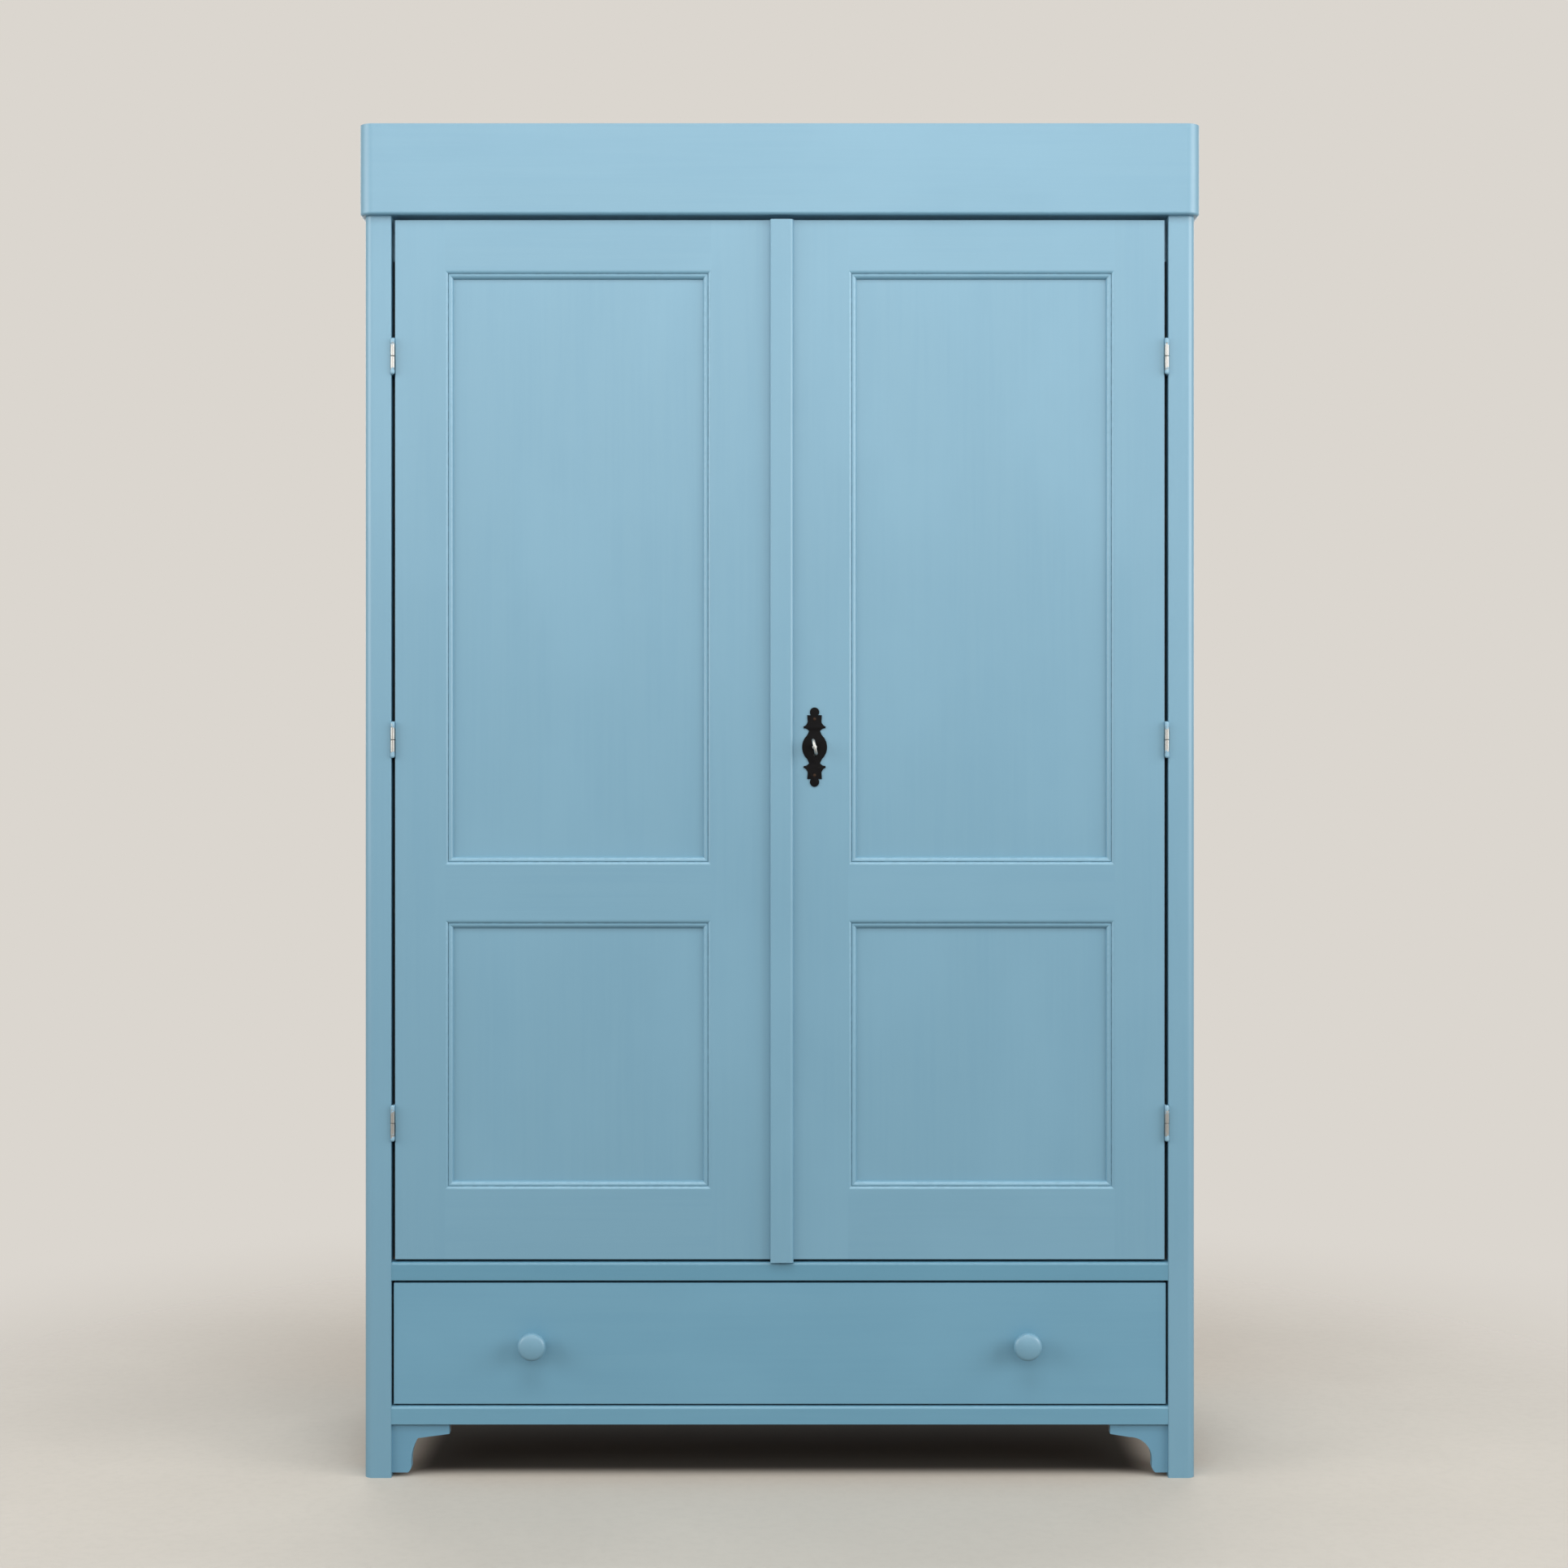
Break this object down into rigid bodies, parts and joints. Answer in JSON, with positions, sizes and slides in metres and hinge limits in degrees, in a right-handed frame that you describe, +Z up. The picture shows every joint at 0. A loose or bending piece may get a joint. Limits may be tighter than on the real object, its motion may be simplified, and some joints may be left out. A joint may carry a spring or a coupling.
{
  "type": "wardrobe cupboard",
  "caption": "Tall painted cupboard with two framed-and-panelled doors over one wide drawer, flat capping frame, bracketed feet, keyed door lock and shelves on toothed racks.",
  "frame": {"origin": "Bottom centre of the bounding box, on the floor plane midway between the sides and midway from the foremost point to the back.", "axes": "+Z up, front with doors and drawer towards -Y, +X to the right of someone facing the doors."},
  "size_m": [1.196, 0.529, 1.925],
  "materials": {
    "painted_wood": "light blue satin furniture paint, brushed",
    "bare_pine": "aged bare pine",
    "steel_hardware": "worn zinc-plated steel",
    "black_iron": "black japanned iron"
  },
  "bodies": {
    "carcass": {"front_post_left": "painted_wood", "front_post_right": "painted_wood", "rear_post_left": "painted_wood", "rear_post_right": "painted_wood", "bottom_front_rail": "painted_wood", "mid_front_rail": "painted_wood", "top_front_rail": "painted_wood", "bottom_rear_rail": "bare_pine", "mid_rear_rail": "bare_pine", "top_rear_rail": "bare_pine", "side_rails_left": "painted_wood", "side_rails_right": "painted_wood", "side_panels_left": "painted_wood", "side_panels_right": "painted_wood", "foot_bracket_left": "painted_wood", "foot_bracket_right": "painted_wood", "floor_board": "bare_pine", "drawer_runners": "bare_pine", "drawer_stops": "bare_pine", "drawer_kickers": "bare_pine", "back_boards": "bare_pine", "roof_board": "bare_pine", "crown_front": "painted_wood", "crown_side_left": "painted_wood", "crown_side_right": "painted_wood", "crown_rear": "bare_pine", "crown_corner_blocks": "bare_pine", "shelf_racks": "bare_pine", "shelf_bearers": "bare_pine", "shelf_lower": "bare_pine", "shelf_middle": "bare_pine", "shelf_upper": "bare_pine", "case_hinge_leaves": "steel_hardware"},
    "left_door": {"left_door_hinge_stile": "painted_wood", "left_door_meeting_stile": "painted_wood", "left_door_rails": "painted_wood", "left_door_panels": "painted_wood", "left_door_mouldings": "painted_wood", "left_door_hinge_leaves": "steel_hardware", "strike_plate": "steel_hardware", "slide_bolt_plates": "steel_hardware"},
    "right_door": {"right_door_hinge_stile": "painted_wood", "right_door_meeting_stile": "painted_wood", "right_door_rails": "painted_wood", "right_door_panels": "painted_wood", "right_door_mouldings": "painted_wood", "right_door_hinge_leaves": "steel_hardware", "cover_strip": "painted_wood", "escutcheon": "black_iron", "lock_case": "steel_hardware"},
    "lock_bolt": {"lock_bolt": "steel_hardware"},
    "key": {"key": "steel_hardware"},
    "upper_slide_bolt": {"upper_slide_bolt": "steel_hardware"},
    "lower_slide_bolt": {"lower_slide_bolt": "steel_hardware"},
    "drawer": {"drawer_front": "painted_wood", "drawer_sides": "bare_pine", "drawer_back": "bare_pine", "drawer_bottom": "bare_pine", "drawer_knobs": "painted_wood"}
  },
  "joints": [
    {"name": "left_door_swing", "type": "hinge", "parent": "carcass", "child": "left_door", "pos_m": [-0.5505, -0.238, 1.0505], "axis": [0, 0, -1], "range_deg": [0, 170]},
    {"name": "right_door_swing", "type": "hinge", "parent": "carcass", "child": "right_door", "pos_m": [0.5505, -0.238, 1.0505], "axis": [0, 0, 1], "range_deg": [0, 170]},
    {"name": "drawer_slide", "type": "slide", "parent": "carcass", "child": "drawer", "axis": [0, -1, 0], "range_m": [0, 0.35]},
    {"name": "key_turn", "type": "hinge", "parent": "right_door", "child": "key", "pos_m": [0.0495, -0.2335, 1.04], "axis": [0, -1, 0], "range_deg": [0, 360]},
    {"name": "lock_bolt_throw", "type": "slide", "parent": "right_door", "child": "lock_bolt", "axis": [-1, 0, 0], "range_m": [0, 0.009]},
    {"name": "upper_slide_bolt_throw", "type": "slide", "parent": "left_door", "child": "upper_slide_bolt", "axis": [0, 0, 1], "range_m": [0, 0.016]},
    {"name": "lower_slide_bolt_throw", "type": "slide", "parent": "left_door", "child": "lower_slide_bolt", "axis": [0, 0, -1], "range_m": [0, 0.016]}
  ],
  "couplings": [
    {"joint": "key_turn", "follows": "lock_bolt_throw", "rad_per_m": 698.13}
  ]
}
